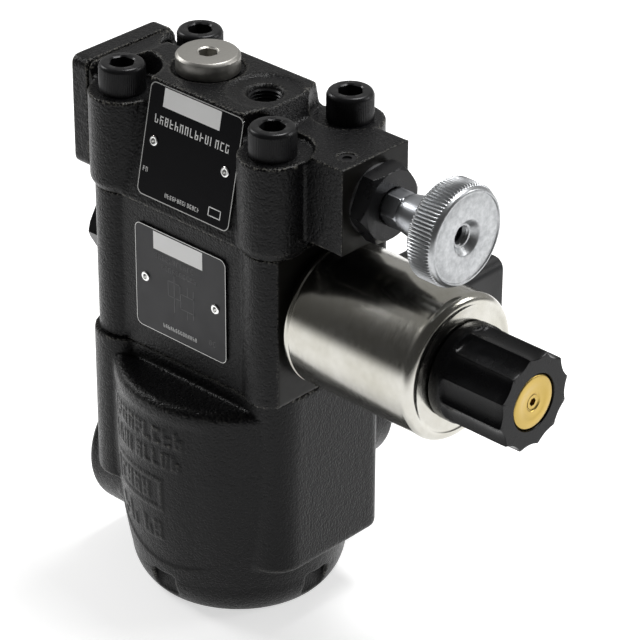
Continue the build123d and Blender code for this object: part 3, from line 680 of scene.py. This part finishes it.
def brass_piece():
    """Brass cap of the tube with turned steps."""
    x1 = TUBE_END
    rows = [
        (118.0, circle(9.5)), (x1 - 0.6, circle(9.55)), (x1 - 0.15, circle(9.25)), (x1, circle(8.9)),
        (x1, circle(6.0)), (x1 - 0.05, circle(5.9)), (x1 - 0.05, circle(3.3)), (x1 - 0.4, circle(2.9)),
        (x1 - 0.5, circle(2.55)), (x1 - 8, circle(2.5)),
    ]
    made = turned("brass_cap", rows, (0, 0, SOLENOID_Z), "X", 180)
    finish_piece(made, "valve", [BRASS], "tube_cap")


def rivet_piece():
    """Drive pins with a bright rim round a dark centre."""
    parts = []
    for name, place in (("head", HEAD_PLACE), ("pilot", PILOT_PLACE)):
        for side in (-1, 1):
            rows = [
                (0.0, circle(1.75)), (0.35, circle(1.75)), (0.5, circle(1.6)), (0.55, circle(1.4)),
                (0.5, circle(1.0)), (0.45, circle(0.9)), (-0.75, circle(0.85)), (-0.78, circle(0.0)),
            ]
            pin = turned(f"rivet_{name}_{side}", rows, (0, 0, 0), "Z", 48)
            pin.data.transform(place @ Matrix.Translation((side * RIVET_X * MM, 0, PLATE_T * MM)))
            parts.append(pin)
    made = joined("rivets", parts)
    finish_piece(made, "valve", [RIVET], "plate_rivets")


# ----------------------------------------------------------------- name plates

def plate_matrix(origin, lean):
    """Plate frame: x to the right, y up the plate, z out of its face."""
    tilt = math.radians(lean)
    columns = (
        Vector((1, 0, 0)),
        Vector((0, math.sin(tilt), math.cos(tilt))),
        Vector((0, -math.cos(tilt), math.sin(tilt))),
    )
    turn = Matrix(columns).transposed().to_4x4()
    return Matrix.Translation(Vector(origin) * MM) @ turn


def flat_bars(name, bars, lift):
    """Thin rectangles on a plate, each given by its corners x0, y0, x1, y1."""
    vertices = []
    faces = []
    for x0, y0, x1, y1 in bars:
        first = len(vertices)
        for z in (lift, lift + PRINT_T):
            vertices += [(x0, y0, z), (x1, y0, z), (x1, y1, z), (x0, y1, z)]
        faces.append((first + 4, first + 5, first + 6, first + 7))
        for step in range(4):
            after = (step + 1) % 4
            faces.append((first + step, first + after, first + 4 + after, first + 4 + step))
    return mesh_object(name, vertices, faces)


def border(name, width, height, corner, line):
    """Rounded frame line along a plate's edge."""
    def outline(w, h, r):
        points = []
        for quarter, (sx, sy) in enumerate(((1, 1), (-1, 1), (-1, -1), (1, -1))):
            for step in range(9):
                angle = math.pi / 2 * (quarter + step / 8)
                x = sx * (w / 2 - r) + r * math.cos(angle)
                y = sy * (h / 2 - r) + r * math.sin(angle)
                points.append((x, y))
        return points
    outer = outline(width, height, corner)
    inner = outline(width - 2 * line, height - 2 * line, corner - line)
    count = len(outer)
    top = PLATE_T + PRINT_T
    vertices = [(x, y, top) for x, y in outer + inner]
    vertices += [(x, y, 0.1) for x, y in outer]
    faces = []
    for step in range(count):
        after = (step + 1) % count
        faces.append((step, after, count + after, count + step))
        faces.append((2 * count + step, 2 * count + after, after, step))
    return mesh_object(name, vertices, faces)


def word_bars(x, y, height, count, seed):
    """A line of short upright strokes that stands for printing."""
    chance = random.Random(seed)
    bars = []
    for _ in range(count):
        width = height * 0.5
        stroke = height * 0.13
        bars.append((x, y, x + stroke, y + height))
        if chance.random() < 0.7:
            bars.append((x + width - stroke, y, x + width, y + height * chance.choice((0.5, 1.0))))
        for level in (0.0, 0.45, 0.83):
            if chance.random() < 0.6:
                bars.append((x, y + height * level, x + width, y + height * level + stroke))
        x += height * 0.78
    return bars


def rect_lines(x0, y0, x1, y1, line):
    """Outline of a rectangle as four bars."""
    return [
        (x0, y0, x1, y0 + line), (x0, y1 - line, x1, y1), (x0, y0, x0 + line, y1), (x1 - line, y0, x1, y1),
    ]


def plate_prints():
    """Generic printing: a blank white label, lines of strokes and a valve symbol."""
    lift = PLATE_T + 0.01
    label_head = flat_bars("label_head", [(-14.8, 12.4, 11.4, 19.0)], lift)
    words_head = flat_bars(
        "words_head",
        word_bars(-17.6, 6.2, 3.0, 15, 3) + word_bars(-8.5, -17.4, 1.5, 14, 5)
        + word_bars(-20.0, -11.5, 1.7, 2, 6) + rect_lines(11.5, -16.8, 17.2, -13.6, 0.35),
        lift,
    )
    frame_head = border("frame_head", PLATE_W, PLATE_H, 2.5, 0.32)
    for made, material in ((label_head, PRINT), (words_head, PRINT), (frame_head, BORDER)):
        made.data.transform(HEAD_PLACE)
        finish_piece(made, "valve", [material])
    label_pilot = flat_bars("label_pilot", [(-12.6, 12.2, 10.6, 18.9)], lift)
    words_pilot = flat_bars("words_pilot", word_bars(-8.5, -16.6, 1.5, 14, 7), lift)
    symbol = rect_lines(-6, -3.5, 0, 2.5, 0.3) + rect_lines(0, -6.5, 6.5, -0.5, 0.3)
    symbol += [(-3.1, -9, -2.8, 6), (3.2, -9.5, 3.5, -6.5), (3.2, -0.5, 3.5, 3.0)]
    symbol += [(-3, 5.7, 6, 6), (6, -8.5, 6.3, 2.5)]
    faint = flat_bars(
        "faint_pilot", symbol + word_bars(-12, 8.9, 2.2, 11, 9) + word_bars(-9, 5.4, 2.2, 10, 10)
        + word_bars(13.5, -15.0, 2.2, 2, 11), lift,
    )
    frame_pilot = border("frame_pilot", PLATE_W, PLATE_H, 2.5, 0.2)
    rows = ((label_pilot, PRINT), (words_pilot, PRINT), (faint, PRINT_FAINT), (frame_pilot, BORDER))
    for made, material in rows:
        made.data.transform(PILOT_PLACE)
        finish_piece(made, "valve", [material])


def head_plate_place():
    """Centre of the head plate on the leaning front, as in the CAD source."""
    rise = RIDGE_TOP - PILOT_TOP
    lean = math.tan(math.radians(HEAD_LEAN)) * rise
    share = (PLATE_H / 2 + 3.6) / rise
    centre = (HEAD_PLATE_X, HEAD_FRONT + share * lean, PILOT_TOP + share * rise)
    return plate_matrix(centre, HEAD_LEAN)


HEAD_PLACE = head_plate_place()
PILOT_PLACE = plate_matrix((0, PILOT_FRONT, SOLENOID_Z), 0)


# ----------------------------------------------------------------------- stage

def build_stage():
    """Pale floor that glows near the object, soft lights and a world brighter on one side."""
    bpy.ops.mesh.primitive_circle_add(vertices=64, radius=6.0, fill_type="NGON", location=(0, 0, 0))
    floor = bpy.context.object
    floor.name = "floor"
    material = new_material("floor_pale", (0.8, 0.8, 0.8), 0.7)
    shader = material.node_tree.nodes["Principled BSDF"]
    shader.inputs["Emission Color"].default_value = (1, 1, 1, 1)
    place = object_space(material)
    centre = add_node(material, "ShaderNodeVectorMath")
    centre.operation = "DISTANCE"
    centre.inputs[1].default_value = (-0.12, 0.2, 0)
    link(material, place, centre.inputs[0])
    near, far = 0.55, 0.95
    brightest = 0.62
    glow = remap(material, centre.outputs["Value"], near, far, brightest, 0.0)
    link(material, glow, shader.inputs["Emission Strength"])
    floor.data.materials.append(material)
    lights = [
        ("overhead", (0.1, 0.5, 1.5), (0.7, 0.5), 17.0, (0, 0, 0.1)),
        ("left", (-1.2, -0.3, 0.9), (0.35, 0.5), 7.0, (0, 0, 0.1)),
        ("right", (0.9, 1.0, 0.7), (0.35, 0.5), 4.0, (0, 0, 0.1)),
    ]
    for name, place, size, power, target in lights:
        data = bpy.data.lights.new(name, "AREA")
        data.shape = "RECTANGLE"
        data.size, data.size_y = size
        data.energy = power
        lamp = bpy.data.objects.new(name, data)
        lamp.location = place
        lamp.rotation_euler = (Vector(target) - Vector(place)).to_track_quat("-Z", "Y").to_euler()
        bpy.context.scene.collection.objects.link(lamp)
    world = bpy.data.worlds.new("studio")
    world.use_nodes = True
    tree = world.node_tree
    place = tree.nodes.new("ShaderNodeTexCoord")
    side = tree.nodes.new("ShaderNodeVectorMath")
    side.operation = "DOT_PRODUCT"
    side.inputs[1].default_value = (-0.62, 0.7, 0.0)
    ramp = tree.nodes.new("ShaderNodeMapRange")
    ramp.interpolation_type = "SMOOTHSTEP"
    for key, number in (("From Min", -0.1), ("From Max", 0.5), ("To Min", 0.06), ("To Max", 0.42)):
        ramp.inputs[key].default_value = number
    tree.links.new(place.outputs["Generated"], side.inputs[0])
    tree.links.new(side.outputs["Value"], ramp.inputs["Value"])
    background = tree.nodes["Background"]
    background.inputs["Color"].default_value = (1.0, 0.995, 0.98, 1)
    tree.links.new(ramp.outputs["Result"], background.inputs["Strength"])
    bpy.context.scene.world = world
    bpy.context.scene.view_settings.view_transform = "Standard"


def build_camera():
    """Camera at the photograph's angle."""
    azimuth, elevation, roll = (math.radians(v) for v in (43.106, 29.62, 0.306))
    back = Vector((
        math.sin(azimuth) * math.cos(elevation),
        -math.cos(azimuth) * math.cos(elevation),
        math.sin(elevation),
    ))
    data = bpy.data.cameras.new("camera")
    target = Vector((0.03892, 0, 0.11324))
    distance = 1.09059
    data.lens = 183.3
    data.sensor_width = 36.0
    data.clip_start = 0.05
    data.clip_end = 50
    camera = bpy.data.objects.new("camera", data)
    camera.location = target + back * distance
    camera.rotation_mode = "QUATERNION"
    turn = Matrix.Rotation(roll, 4, "Z")
    aim = (-back).to_track_quat("-Z", "Y").to_matrix().to_4x4()
    camera.rotation_quaternion = (aim @ turn).to_quaternion()
    bpy.context.scene.collection.objects.link(camera)
    bpy.context.scene.camera = camera


paint_nodes()
head_casting()
pilot_casting()
main_casting()
cover_casting()
clamp_screws()
knob_piece()
spindle_piece()
bush_piece()
plug_piece()
gauge_thread()
shell_piece()
nut_piece()
brass_piece()
rivet_piece()
plate_prints()
build_stage()
build_camera()
